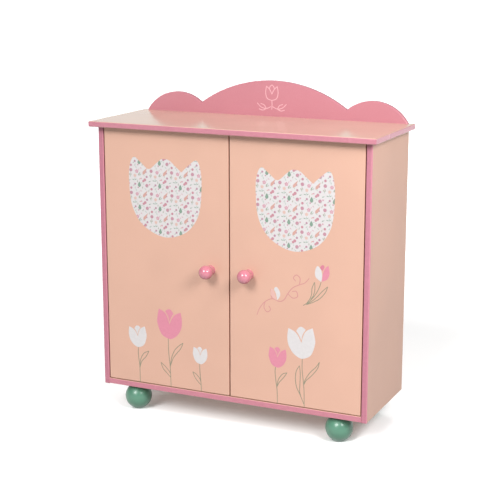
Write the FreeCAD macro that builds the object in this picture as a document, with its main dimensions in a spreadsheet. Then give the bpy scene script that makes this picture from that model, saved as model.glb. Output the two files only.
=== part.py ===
"""Doll's wardrobe with two pivot-hung doors, a hanging bay and two shelves.

Frame: +X to the wardrobe's right as seen from the front, +Y to the back, +Z up.
The origin is on the floor, under the middle of the wardrobe's overall box, whose
depth runs from the back edges of the boards to the tips of the door knobs.
"""

import FreeCAD, Part
import Sketcher

import math
import os
import re

Vector = FreeCAD.Vector
Rotation = FreeCAD.Rotation

document = FreeCAD.newDocument("DollWardrobe")

# ---------------------------------------------------------------- driving dimensions

DRIVING_DIMENSIONS = [
    ("body_width", 462, "outside of one side panel to the outside of the other"),
    ("body_depth", 173, "front edge to back edge of a side panel"),
    ("side_height", 431, "length of a side panel"),
    ("board_thickness", 9, "every board of the case and both doors"),
    ("arris", 1.6, "rounding of the painted board edges"),
    ("top_overhang_side", 10, "top board past each side panel"),
    ("top_overhang_front", 12.5, "top board past the front edges of the sides"),
    ("bottom_board_lift", 1, "underside of the bottom board above the lower ends of the sides"),
    ("crest_peak", 58, "top of the middle bow above the top board"),
    ("crest_bow_radius", 223, "radius of the middle bow"),
    ("crest_arris", 0.9, "bevel along the curved edges of the crest"),
    ("lobe_peak", 32.9, "top of an outer lobe above the top board"),
    ("lobe_offset", 173.25, "middle of an outer lobe from the middle of the wardrobe"),
    ("foot_diameter", 44, "ball foot"),
    ("foot_flat", 0.5, "height taken off the ball at its top and at its bottom"),
    ("foot_from_side", 52, "foot centre from the outside of the side panel"),
    ("foot_from_edge", 22, "foot centre from the front and the back planes of the case"),
    ("foot_screw_length", 30, "countersunk screw through the bottom board into a foot"),
    ("back_thickness", 3, "back panel"),
    ("rebate_width", 5, "rebate in a side panel that takes the edge of the back panel"),
    ("back_clearance", 0.2, "back panel to the shoulder of the rebate"),
    ("nail_radius", 0.7, "panel pin"),
    ("nail_length", 12, "panel pin"),
    ("interior_setback", 20, "divider and shelves behind the front edges of the sides"),
    ("dowel_radius", 2.5, "joinery dowel"),
    ("dowel_length", 20, "joinery dowel"),
    ("dowel_in_face", 5, "depth of a dowel in the face of a board"),
    ("door_recess", 1, "door face behind the front edges of the sides"),
    ("door_side_gap", 1.5, "door to side panel"),
    ("door_meeting_gap", 1.8, "door to door"),
    ("door_bottom_gap", 1.2, "door to bottom board"),
    ("door_top_gap", 1.5, "door to top board"),
    ("door_arris", 0.8, "rounding of the front edges of a door"),
    ("pivot_from_edge", 9.5, "pivot axis from the hinge edge of a door"),
    ("pin_radius", 2, "pivot pin"),
    ("pin_in_door", 15, "length of a pivot pin in the end of a door"),
    ("pin_reach", 6, "length of a pivot pin past the end of a door"),
    ("pin_clearance", 0.05, "radial running clearance of a pivot pin in its bush"),
    ("bush_radius", 3.2, "sleeve of a pivot bush"),
    ("bush_depth", 7, "sleeve of a pivot bush in the board"),
    ("flange_radius", 4.2, "flange of a pivot bush"),
    ("flange_thickness", 0.8, "flange of a pivot bush"),
    ("knob_offset", 33, "knob axis from the middle of the wardrobe"),
    ("knob_height", 256.5, "knob axis above the floor"),
    ("knob_ball_radius", 11, "ball of a knob"),
    ("knob_ball_distance", 17, "centre of the ball from the door face"),
    ("knob_base_radius", 8.4, "neck of a knob where it meets the door"),
    ("knob_collar", 1, "straight collar at the foot of the neck"),
    ("knob_neck_curve", 26, "radius of the hollow of the neck, which runs smoothly into the ball"),
    ("knob_reach", 27, "knob tip in front of the front edges of the sides"),
    ("knob_screw_length", 19, "pan head screw from the inside of the door into the knob"),
    ("rail_radius", 6, "clothes rail"),
    ("rail_drop", 45, "rail axis below the top board"),
    ("rail_play", 0.5, "rail end to the bottom of its socket"),
    ("socket_flange_radius", 16, "flange of a rail socket"),
    ("socket_flange", 2.5, "flange of a rail socket"),
    ("socket_cup_radius", 9, "cup of a rail socket"),
    ("socket_cup_length", 10, "cup of a rail socket, flange included"),
    ("socket_clearance", 0.2, "rail to the wall of its socket"),
    ("socket_screw_spacing", 24, "distance between the two screws of a socket"),
    ("catch_offset", 30, "middle of a magnetic catch from the middle of the wardrobe"),
    ("catch_length", 36, "catch body, along the board"),
    ("catch_depth", 14, "catch body, front to back"),
    ("catch_height", 11, "catch body, below the top board"),
    ("catch_screw_spacing", 27, "distance between the two screws of a catch"),
    ("magnet_length", 18, "magnet bar"),
    ("magnet_depth", 5, "magnet bar"),
    ("magnet_height", 6, "magnet bar"),
    ("magnet_gap", 0.3, "magnet to strike plate with the door shut"),
    ("strike_length", 22, "strike plate"),
    ("strike_height", 12, "strike plate"),
    ("strike_thickness", 1.2, "strike plate"),
    ("strike_below_top", 1.5, "upper edge of the strike plate below the top of the door"),
    ("small_screw_head", 2.6, "head radius of the small countersunk screws"),
    ("small_screw_shank", 1.3, "shank radius of the small countersunk screws"),
    ("small_screw_length", 7.5, "small countersunk screw"),
    ("long_screw_head", 3.8, "head radius of the foot and crest screws"),
    ("long_screw_shank", 1.9, "shank radius of the foot and crest screws"),
    ("inner_crest_screw", 60, "crest screws of the middle bow, from the middle"),
    ("crest_screw_length", 28, "countersunk screw through the top board into the crest"),
    ("knob_screw_head", 4, "head radius of a knob screw"),
    ("knob_screw_shank", 2, "shank radius of a knob screw"),
    ("pan_height", 2.4, "height of a pan head"),
    ("screw_tip", 0.5, "blunt tip radius of the wood screws"),
    ("recess_depth", 0.8, "driver recess in a screw head"),
]

sheet = document.addObject("Spreadsheet::Sheet", "Dims")
for row, (alias, value, note) in enumerate(DRIVING_DIMENSIONS, start=1):
    sheet.set(f"A{row}", alias)
    sheet.set(f"B{row}", str(value))
    sheet.set(f"C{row}", note)
    sheet.setAlias(f"B{row}", alias)
document.recompute()

ALIASES = {alias for alias, _, _ in DRIVING_DIMENSIONS}
VALUES = {alias: value for alias, value, _ in DRIVING_DIMENSIONS}

# Planes and levels of the case, as expressions in the driving dimensions.
BACK = "(body_depth + knob_reach) / 2"
FRONT = f"({BACK} - body_depth)"
SIDE_FOOT = "(foot_diameter - 2 * foot_flat - bottom_board_lift)"
FLOOR_UNDERSIDE = f"({SIDE_FOOT} + bottom_board_lift)"
FLOOR_TOP = f"({FLOOR_UNDERSIDE} + board_thickness)"
TOP_UNDERSIDE = f"({SIDE_FOOT} + side_height)"
TOP_SURFACE = f"({TOP_UNDERSIDE} + board_thickness)"
INNER_SIDE = "(body_width / 2 - board_thickness)"
INNER_BACK = f"({BACK} - back_thickness)"
INTERIOR_FRONT = f"({FRONT} + interior_setback)"
INTERIOR_DEPTH = f"({INNER_BACK} - {INTERIOR_FRONT})"
DIVIDER_FACE = "(board_thickness / 2)"
BAY_WIDTH = f"({INNER_SIDE} - {DIVIDER_FACE})"
INNER_HEIGHT = f"({TOP_UNDERSIDE} - {FLOOR_TOP})"
SHELF_SPACE = f"(({INNER_HEIGHT} - 2 * board_thickness) / 3)"
DOOR_FACE = f"({FRONT} + door_recess)"
DOOR_BACK = f"({DOOR_FACE} + board_thickness)"
DOOR_WIDTH = f"({INNER_SIDE} - door_side_gap - door_meeting_gap / 2)"
DOOR_FOOT = f"({FLOOR_TOP} + door_bottom_gap)"
DOOR_HEAD = f"({TOP_UNDERSIDE} - door_top_gap)"
PIVOT_X = f"({INNER_SIDE} - door_side_gap - pivot_from_edge)"
PIVOT_Y = f"({DOOR_FACE} + board_thickness / 2)"
FOOT_X = "(body_width / 2 - foot_from_side)"
RAIL_LEVEL = f"({TOP_UNDERSIDE} - rail_drop)"
RAIL_Y = f"(({INTERIOR_FRONT} + {INNER_BACK}) / 2)"
CATCH_FRONT = f"({DOOR_BACK} + strike_thickness + magnet_gap)"
STRIKE_LEVEL = f"({DOOR_HEAD} - strike_below_top - strike_height)"

SIDES = {"left": -1, "right": 1}


# ------------------------------------------------------------------------- helpers

def expand(expression):
    """An expression with its driving dimensions named the way FreeCAD reads them."""
    return re.sub(r"[a-z_]+", lambda word: f"Dims.{word[0]}" if word[0] in ALIASES else word[0],
                  str(expression))


def bind(target, prop, expression):
    target.setExpression(prop, expand(expression))


def place(target, x, y, z, rotation=None):
    """Put a piece's own origin at x, y, z, turned by a fixed rotation."""
    target.Placement = FreeCAD.Placement(Vector(), rotation or Rotation())
    for axis, expression in zip("xyz", (x, y, z)):
        bind(target, f"Placement.Base.{axis}", expression)


def new_body(label):
    body = document.addObject("PartDesign::Body", label)
    body.Label = label
    return body


def new_sketch(body, plane_role):
    sketch = body.newObject("Sketcher::SketchObject", f"{body.Label}_sketch")
    plane = next(item for item in body.Origin.OriginFeatures if item.Role == plane_role)
    sketch.AttachmentSupport = [(plane, "")]
    sketch.MapMode = "FlatFace"
    return sketch


def hold(sketch, kind, *elements, expression=None, start=1.0):
    """Add a constraint, driven by an expression when one is given."""
    if expression is None:
        sketch.addConstraint(Sketcher.Constraint(kind, *elements))
        return
    index = sketch.addConstraint(Sketcher.Constraint(kind, *elements, start))
    name = f"size_{index}"
    sketch.renameConstraint(index, name)
    bind(sketch, f"Constraints.{name}", expression)


def number(expression):
    """The value of an expression at the sheet's present values."""
    probe = document.addObject("App::FeaturePython", "Probe")
    probe.addProperty("App::PropertyFloat", "Value")
    probe.setExpression("Value", expand(expression))
    document.recompute([probe])
    value = probe.Value
    document.removeObject(probe.Name)
    return value


def counterclockwise_arc(start, middle, end):
    """An arc through three points of a sketch, given in counterclockwise order."""
    return Part.Arc(Vector(*start, 0), Vector(*middle, 0), Vector(*end, 0))


def polygon(body, plane_role, corners):
    """A closed polygon whose corners are (across, up) expressions."""
    sketch = new_sketch(body, plane_role)
    points = [Vector(number(across), number(up), 0) for across, up in corners]
    count = len(points)
    for index in range(count):
        sketch.addGeometry(Part.LineSegment(points[index], points[(index + 1) % count]))
    for index in range(count):
        hold(sketch, "Coincident", index, 2, (index + 1) % count, 1)
    for index, (across, up) in enumerate(corners):
        hold(sketch, "DistanceX", -1, 1, index, 1, expression=across, start=points[index].x)
        hold(sketch, "DistanceY", -1, 1, index, 1, expression=up, start=points[index].y)
    return sketch


def pad(body, sketch, length):
    feature = body.newObject("PartDesign::Pad", f"{body.Label}_pad")
    feature.Profile = sketch
    bind(feature, "Length", length)
    sketch.Visibility = False
    document.recompute()
    return feature


def revolve(body, sketch):
    """Turn a profile about the sketch's vertical axis."""
    feature = body.newObject("PartDesign::Revolution", f"{body.Label}_turned")
    feature.Profile = sketch
    feature.ReferenceAxis = (sketch, ["V_Axis"])
    feature.Angle = 360
    document.recompute()
    return feature


def break_edges(body, kind, size, wanted):
    """Fillet or chamfer the edges of the body's last feature that the test picks."""
    base = body.Tip
    names = [f"Edge{index}" for index, edge in enumerate(base.Shape.Edges, start=1) if wanted(edge)]
    feature = body.newObject(f"PartDesign::{kind}", f"{body.Label}_arris")
    feature.Base = (base, names)
    bind(feature, {"Fillet": "Radius", "Chamfer": "Size"}[kind], size)
    document.recompute()
    return feature


def edge_lies(axis, side, body):
    """A test for the edges in the low (-1) or high (+1) face of the body across an axis."""
    box = body.Tip.Shape.BoundBox
    level = getattr(box, f"{axis}Min" if side < 0 else f"{axis}Max")

    def lies(edge):
        return all(abs(getattr(vertex.Point, axis.lower()) - level) < 1e-6
                   for vertex in edge.Vertexes)
    return lies


def board(label, width, depth, height, at, rounded=(), radius="arris"):
    """A flat board with its low corner at a place, rounded along some of its faces."""
    body = new_body(label)
    corners = [("0", "0"), (width, "0"), (width, depth), ("0", depth)]
    pad(body, polygon(body, "XY_Plane", corners), height)
    if rounded:
        tests = [edge_lies(axis, side, body) for axis, side in rounded]
        break_edges(body, "Fillet", radius, lambda edge: any(test(edge) for test in tests))
    place(body, *at)
    return body


def cylinder(label, radius, length, at, rotation=None):
    rod = document.addObject("Part::Cylinder", label)
    rod.Label = label
    bind(rod, "Radius", radius)
    bind(rod, "Height", length)
    place(rod, *at, rotation)
    return rod


def group(label, members):
    compound = document.addObject("Part::Compound", label)
    compound.Label = label
    compound.Links = members
    return compound


def copies(label, master, places):
    """Copies of one master piece, each at (x, y, z) or (x, y, z, rotation)."""
    links = []
    for position in places:
        link = document.addObject("App::Link", f"{label}_copy")
        link.LinkedObject = master
        place(link, *position)
        links.append(link)
    return group(label, links)


def drilled(label, blank, *fittings):
    """A blank cut by everything that is let into it, so each fitting fills its own hole."""
    blank.Label = f"{label}_blank"
    cut = document.addObject("Part::Cut", label)
    cut.Label = label
    cut.Base = blank
    cut.Tool = group(f"{label}_holes", list(fittings))
    return cut


def mirrored(sign, expression):
    """An expression's value on the left (-1) or right (+1) side of the wardrobe."""
    return f"{sign} * ({expression})"


# ------------------------------------------------------------------------ fasteners

def cross_recess(label, level):
    """The cross-shaped driver recess of a screw head, as a solid to cut away."""
    body = new_body(f"{label}_recess")
    arm = "small_screw_shank"
    slot = "nail_radius / 2"
    outline = [(arm, slot), (slot, slot), (slot, arm), (f"-{slot}", arm), (f"-{slot}", slot),
               (f"-{arm}", slot), (f"-{arm}", f"-{slot}"), (f"-{slot}", f"-{slot}"),
               (f"-{slot}", f"-{arm}"), (slot, f"-{arm}"), (slot, f"-{slot}"), (arm, f"-{slot}")]
    pad(body, polygon(body, "XY_Plane", outline), "recess_depth")
    place(body, "0", "0", f"{level} - recess_depth")
    return body


def screw(label, profile, head_top):
    """A screw pointing down, as (the piece itself, the plain shape that drills its hole)."""
    drill = new_body(f"{label}_hole")
    revolve(drill, polygon(drill, "XZ_Plane", profile))
    piece = document.addObject("Part::Cut", label)
    piece.Label = label
    piece.Base = drill
    piece.Tool = cross_recess(label, head_top)
    return piece, drill


def countersunk_screw(label, head, shank, length):
    """A wood screw, the flat of its head at its own origin."""
    profile = [("0", "0"), (head, "0"), (shank, f"-({head} - {shank})"),
               (shank, f"-({length} - 2 * {shank})"), ("screw_tip", f"-({length})"),
               ("0", f"-({length})")]
    return screw(label, profile, "0")


def pan_head_screw(label, head, shank, length):
    """A machine screw, the underside of its head at its own origin."""
    profile = [("0", "pan_height"), (f"{head} * 0.7", "pan_height"), (head, "pan_height * 0.45"),
               (head, "0"), (shank, "0"), (shank, f"-({length})"), ("0", f"-({length})")]
    return screw(label, profile, "pan_height")


def screws(label, masters, places):
    """Copies of a screw, as (the node with the screws, their holes)."""
    piece, drill = masters
    return copies(label, piece, places), copies(f"{label}_drill", drill, places)


# Turns that bring a piece's own +Z to another direction. Screws lie along their own -Z.
UPSIDE_DOWN = Rotation(Vector(1, 0, 0), 180)
Z_TO_FRONT = Rotation(Vector(1, 0, 0), 90)
Z_TO_BACK = Rotation(Vector(1, 0, 0), -90)
Z_TO_RIGHT = Rotation(Vector(0, 1, 0), 90)
Z_TO_LEFT = Rotation(Vector(0, 1, 0), -90)

small_screw = countersunk_screw("small_screw", "small_screw_head", "small_screw_shank",
                                "small_screw_length")
foot_screw = countersunk_screw("foot_screw", "long_screw_head", "long_screw_shank",
                               "foot_screw_length")
crest_screw = countersunk_screw("crest_screw", "long_screw_head", "long_screw_shank",
                                "crest_screw_length")
knob_screw = pan_head_screw("knob_screw", "knob_screw_head", "knob_screw_shank",
                            "knob_screw_length")
dowel = cylinder("dowel", "dowel_radius", "dowel_length", ("0", "0", "0"))
nail = cylinder("nail", "nail_radius", "nail_length", ("0", "0", "0"))

DOWEL_ROWS = [f"({FRONT} + 25)", f"({FRONT} + body_depth / 2)", f"({BACK} - 30)"]
DIVIDER_DOWEL_ROWS = [f"({FRONT} + 45)", f"({BACK} - 35)"]
FLOOR_MIDDLE = f"({FLOOR_UNDERSIDE} + board_thickness / 2)"
DOWEL_IN_END = "(dowel_length - dowel_in_face)"


def case_dowel_places():
    """Dowels between the sides, the divider and the top and bottom boards."""
    places = []
    for sign in SIDES.values():
        end_x = mirrored(sign, "body_width / 2 - board_thickness / 2")
        for y in DOWEL_ROWS:
            places.append((end_x, y, f"{TOP_UNDERSIDE} - {DOWEL_IN_END}"))
            face_x = mirrored(sign, f"{INNER_SIDE} + dowel_in_face")
            turn = Z_TO_LEFT if sign > 0 else Z_TO_RIGHT
            places.append((face_x, y, FLOOR_MIDDLE, turn))
    for y in DIVIDER_DOWEL_ROWS:
        places.append(("0", y, f"{TOP_UNDERSIDE} - {DOWEL_IN_END}"))
        places.append(("0", y, f"{FLOOR_TOP} - dowel_in_face"))
    return places


SHELVES = {"lower_shelf": f"({FLOOR_TOP} + {SHELF_SPACE})",
           "upper_shelf": f"({FLOOR_TOP} + 2 * {SHELF_SPACE} + board_thickness)"}


def shelf_dowel_places():
    """Two dowels in each end of each shelf."""
    places = []
    for underside in SHELVES.values():
        for y in DIVIDER_DOWEL_ROWS:
            level = f"{underside} + board_thickness / 2"
            places.append((f"{DIVIDER_FACE} - dowel_in_face", y, level, Z_TO_RIGHT))
            places.append((f"{INNER_SIDE} - {DOWEL_IN_END}", y, level, Z_TO_RIGHT))
    return places


def nail_places():
    """Panel pins along the rebates, the bottom board and the divider."""
    edge_x = f"({INNER_SIDE} + rebate_width / 2)"
    heights = [f"({FLOOR_TOP} + {INNER_HEIGHT} * {share})" for share in (0.06, 0.28, 0.5, 0.72, 0.94)]
    spots = [(mirrored(sign, edge_x), z) for sign in SIDES.values() for z in heights]
    spots += [("0", z) for z in heights[1:4]]
    spots += [(f"{INNER_SIDE} * {share}", FLOOR_MIDDLE) for share in (-0.8, -0.4, 0, 0.4, 0.8)]
    return [(x, BACK, z, Z_TO_FRONT) for x, z in spots]


FOOT_CORNERS = {f"{end}_{side}": (mirrored(sign, FOOT_X), y)
                for end, y in (("front", f"({FRONT} + foot_from_edge)"),
                               ("rear", f"({BACK} - foot_from_edge)"))
                for side, sign in SIDES.items()}

case_dowels = copies("case_dowels", dowel, case_dowel_places())
shelf_dowels = copies("shelf_dowels", dowel, shelf_dowel_places())
back_panel_nails = copies("back_panel_nails", nail, nail_places())
foot_screws, foot_screw_holes = screws(
    "foot_screws", foot_screw, [(x, y, FLOOR_TOP) for x, y in FOOT_CORNERS.values()])
crest_screws, crest_screw_holes = screws(
    "crest_screws", crest_screw,
    [(mirrored(sign, x), f"{BACK} - board_thickness / 2", TOP_UNDERSIDE, UPSIDE_DOWN)
     for sign in SIDES.values() for x in ("inner_crest_screw", "lobe_offset")])
catch_screws, catch_screw_holes = screws(
    "catch_screws", small_screw,
    [(f"{mirrored(sign, 'catch_offset')} + {step} * catch_screw_spacing / 2",
      f"{CATCH_FRONT} + catch_depth * 0.55", f"{TOP_UNDERSIDE} - catch_height / 4", UPSIDE_DOWN)
     for sign in SIDES.values() for step in (-1, 1)])
SOCKET_FACES = ((f"-{INNER_SIDE} + socket_flange", Z_TO_RIGHT),
                (f"-{DIVIDER_FACE} - socket_flange", Z_TO_LEFT))
rail_socket_screws, rail_socket_screw_holes = screws(
    "rail_socket_screws", small_screw,
    [(x, RAIL_Y, f"{RAIL_LEVEL} + {step} * socket_screw_spacing / 2", turn)
     for x, turn in SOCKET_FACES for step in (-1, 1)])

# -------------------------------------------------------------------- pivot hardware


def pivot_bush(label, at, rotation):
    """A flanged sleeve let into a board, its flange standing on the board's face."""
    body = new_body(label)
    bore = "(pin_radius + pin_clearance)"
    profile = [(bore, "flange_thickness"), ("flange_radius", "flange_thickness"),
               ("flange_radius", "0"), ("bush_radius", "0"),
               ("bush_radius", "-bush_depth"), (bore, "-bush_depth")]
    revolve(body, polygon(body, "XZ_Plane", profile))
    place(body, *at, rotation)
    return body


pivot_bushes = []
bush_seats = {"top": [], "bottom": []}
pivot_pins = {}
for side, sign in SIDES.items():
    x = mirrored(sign, PIVOT_X)
    ends = {"top": (TOP_UNDERSIDE, UPSIDE_DOWN, f"{DOOR_HEAD} - pin_in_door"),
            "bottom": (FLOOR_TOP, Rotation(), f"{DOOR_FOOT} - pin_reach")}
    for end, (face, turn, pin_foot) in ends.items():
        pivot_bushes.append(pivot_bush(f"{side}_{end}_pivot_bush", (x, PIVOT_Y, face), turn))
        seat_foot = face if end == "top" else f"{face} - bush_depth"
        bush_seats[end].append(cylinder(f"{side}_{end}_bush_seat", "bush_radius", "bush_depth",
                                        (x, PIVOT_Y, seat_foot)))
        pivot_pins[side, end] = cylinder(f"{side}_{end}_pivot_pin", "pin_radius",
                                         "pin_in_door + pin_reach", (x, PIVOT_Y, pin_foot))

# ---------------------------------------------------------------------------- case

top_blank = board("top_board", "body_width + 2 * top_overhang_side",
                  "body_depth + top_overhang_front", "board_thickness",
                  ("-body_width / 2 - top_overhang_side", f"{FRONT} - top_overhang_front",
                   TOP_UNDERSIDE),
                  rounded=[("Z", -1), ("Z", 1)])
top_board = drilled("top_board", top_blank, case_dowels, crest_screw_holes, catch_screw_holes,
                    *bush_seats["top"])

bottom_blank = board("bottom_board", f"2 * {INNER_SIDE}", "body_depth - back_thickness",
                     "board_thickness", (f"-{INNER_SIDE}", FRONT, FLOOR_UNDERSIDE),
                     rounded=[("Y", -1)], radius="door_arris")
bottom_board = drilled("bottom_board", bottom_blank, case_dowels, foot_screw_holes,
                       back_panel_nails, *bush_seats["bottom"])


def side_panel(side, sign):
    """A side panel with a rebate for the back panel along its inner rear edge."""
    label = f"{side}_side_panel"
    body = new_body(label)
    outer = mirrored(sign, "board_thickness")
    rebate = mirrored(sign, "rebate_width")
    corners = [("0", "0"), (outer, "0"), (outer, "body_depth"), (rebate, "body_depth"),
               (rebate, "body_depth - back_thickness"), ("0", "body_depth - back_thickness")]
    pad(body, polygon(body, "XY_Plane", corners), "side_height")
    front_edge = edge_lies("Y", -1, body)
    foot_edge = edge_lies("Z", -1, body)
    outer_face = edge_lies("X", sign, body)
    break_edges(body, "Fillet", "arris",
                lambda edge: front_edge(edge) or (foot_edge(edge) and outer_face(edge)))
    place(body, mirrored(sign, INNER_SIDE), FRONT, SIDE_FOOT)
    fittings = [case_dowels, back_panel_nails]
    fittings.append(shelf_dowels if side == "right" else rail_socket_screw_holes)
    return drilled(label, body, *fittings)


side_panels = [side_panel(side, sign) for side, sign in SIDES.items()]

divider_blank = board("centre_divider", "board_thickness", INTERIOR_DEPTH, INNER_HEIGHT,
                      (f"-{DIVIDER_FACE}", INTERIOR_FRONT, FLOOR_TOP))
centre_divider = drilled("centre_divider", divider_blank, case_dowels, shelf_dowels,
                         rail_socket_screw_holes, back_panel_nails)

shelves = []
for label, underside in SHELVES.items():
    blank = board(label, BAY_WIDTH, INTERIOR_DEPTH, "board_thickness",
                  (DIVIDER_FACE, INTERIOR_FRONT, underside))
    shelves.append(drilled(label, blank, shelf_dowels))

back_blank = board("back_panel", f"2 * ({INNER_SIDE} + rebate_width - back_clearance)",
                   "back_thickness", f"{TOP_UNDERSIDE} - {FLOOR_UNDERSIDE}",
                   (f"-({INNER_SIDE} + rebate_width - back_clearance)", INNER_BACK,
                    FLOOR_UNDERSIDE))
back_panel = drilled("back_panel", back_blank, back_panel_nails)

# --------------------------------------------------------------------------- crest


def crest_outline(body):
    """A middle bow between two lower lobes, standing on a straight foot."""
    half = VALUES["body_width"] / 2
    offset = VALUES["lobe_offset"]
    peak = VALUES["lobe_peak"]
    bow_radius = VALUES["crest_bow_radius"]
    bow_centre = VALUES["crest_peak"] - bow_radius
    lobe_radius = ((half - offset) ** 2 + peak ** 2) / (2 * peak)
    lobe_centre = peak - lobe_radius
    reach = math.hypot(offset, lobe_centre - bow_centre)
    along = (bow_radius ** 2 - lobe_radius ** 2 + reach ** 2) / (2 * reach)
    across = math.sqrt(bow_radius ** 2 - along ** 2)
    rise = (lobe_centre - bow_centre) / reach
    run = offset / reach
    valley = (along * run - across * rise, bow_centre + along * rise + across * run)

    sketch = new_sketch(body, "XZ_Plane")
    sketch.addGeometry([
        Part.LineSegment(Vector(-half, 0, 0), Vector(half, 0, 0)),
        counterclockwise_arc((half, 0), (offset, peak), valley),
        counterclockwise_arc(valley, (0, bow_centre + bow_radius), (-valley[0], valley[1])),
        counterclockwise_arc((-valley[0], valley[1]), (-offset, peak), (-half, 0)),
    ])
    foot, right_lobe, bow, left_lobe = range(4)
    for first, second in ((foot, right_lobe), (right_lobe, bow), (bow, left_lobe), (left_lobe, foot)):
        hold(sketch, "Coincident", first, 2, second, 1)
    for lobe, foot_end, sign in ((right_lobe, 2, 1), (left_lobe, 1, -1)):
        hold(sketch, "PointOnObject", foot, foot_end, -1)
        hold(sketch, "DistanceX", -1, 1, foot, foot_end,
             expression=mirrored(sign, "body_width / 2"), start=sign * half)
        hold(sketch, "DistanceX", -1, 1, lobe, 3,
             expression=mirrored(sign, "lobe_offset"), start=sign * offset)
        hold(sketch, "Radius", lobe, start=lobe_radius,
             expression="((body_width / 2 - lobe_offset) ^ 2 + lobe_peak ^ 2) / (2 * lobe_peak)")
    hold(sketch, "PointOnObject", bow, 3, -2)
    hold(sketch, "Radius", bow, expression="crest_bow_radius", start=bow_radius)
    hold(sketch, "DistanceY", bow, 3, -1, 1, expression="crest_bow_radius - crest_peak",
         start=-bow_centre)
    return sketch


crest_blank = new_body("crest_board")
pad(crest_blank, crest_outline(crest_blank), "board_thickness")
front_of_crest = edge_lies("Y", -1, crest_blank)
back_of_crest = edge_lies("Y", 1, crest_blank)
break_edges(crest_blank, "Chamfer", "crest_arris",
            lambda edge: edge.Curve.TypeId == "Part::GeomCircle"
            and (front_of_crest(edge) or back_of_crest(edge)))
place(crest_blank, "0", BACK, TOP_SURFACE)
crest_board = drilled("crest_board", crest_blank, crest_screw_holes)

# ---------------------------------------------------------------------------- feet


def ball_foot(label, x, y):
    """A wooden ball with a small flat at its top and at its bottom, bored for its screw."""
    ball = document.addObject("Part::Sphere", label)
    bind(ball, "Radius", "foot_diameter / 2")
    bind(ball, "Angle1", "-asin(1 - 2 * foot_flat / foot_diameter)")
    bind(ball, "Angle2", "asin(1 - 2 * foot_flat / foot_diameter)")
    place(ball, x, y, "foot_diameter / 2 - foot_flat")
    return drilled(label, ball, foot_screw_holes)


feet = [ball_foot(f"{corner}_foot", x, y) for corner, (x, y) in FOOT_CORNERS.items()]

# ------------------------------------------------------------------- rail and sockets


def rail_socket(label, x, rotation):
    """A flange with a cup that holds one end of the rail."""
    body = new_body(label)
    bore = "(rail_radius + socket_clearance)"
    profile = [("0", "0"), ("socket_flange_radius", "0"), ("socket_flange_radius", "socket_flange"),
               ("socket_cup_radius", "socket_flange"), ("socket_cup_radius", "socket_cup_length"),
               (bore, "socket_cup_length"), (bore, "socket_flange"), ("0", "socket_flange")]
    revolve(body, polygon(body, "XZ_Plane", profile))
    place(body, x, RAIL_Y, RAIL_LEVEL, rotation)
    return drilled(label, body, rail_socket_screw_holes)


rail_sockets = [rail_socket("rail_socket_outer", f"-{INNER_SIDE}", Z_TO_RIGHT),
                rail_socket("rail_socket_inner", f"-{DIVIDER_FACE}", Z_TO_LEFT)]
clothes_rail = cylinder("clothes_rail", "rail_radius",
                        f"{BAY_WIDTH} - 2 * (socket_flange + rail_play)",
                        (f"-{INNER_SIDE} + socket_flange + rail_play", RAIL_Y, RAIL_LEVEL),
                        Z_TO_RIGHT)

# ------------------------------------------------------------------------- catches


def catch(side, sign):
    """A plastic block under the top board with a magnet bar let into its front."""
    middle = mirrored(sign, "catch_offset")
    magnet = board(f"{side}_catch_magnet", "magnet_length", "magnet_depth", "magnet_height",
                   (f"{middle} - magnet_length / 2", CATCH_FRONT,
                    f"{TOP_UNDERSIDE} - (catch_height + magnet_height) / 2"))
    block = board(f"{side}_catch_body", "catch_length", "catch_depth", "catch_height",
                  (f"{middle} - catch_length / 2", CATCH_FRONT,
                   f"{TOP_UNDERSIDE} - catch_height"),
                  rounded=[("Z", -1)], radius="door_arris")
    return [drilled(f"{side}_catch_body", block, magnet, catch_screw_holes), magnet]


catches = [piece for side, sign in SIDES.items() for piece in catch(side, sign)]

# --------------------------------------------------------------------------- doors


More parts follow.
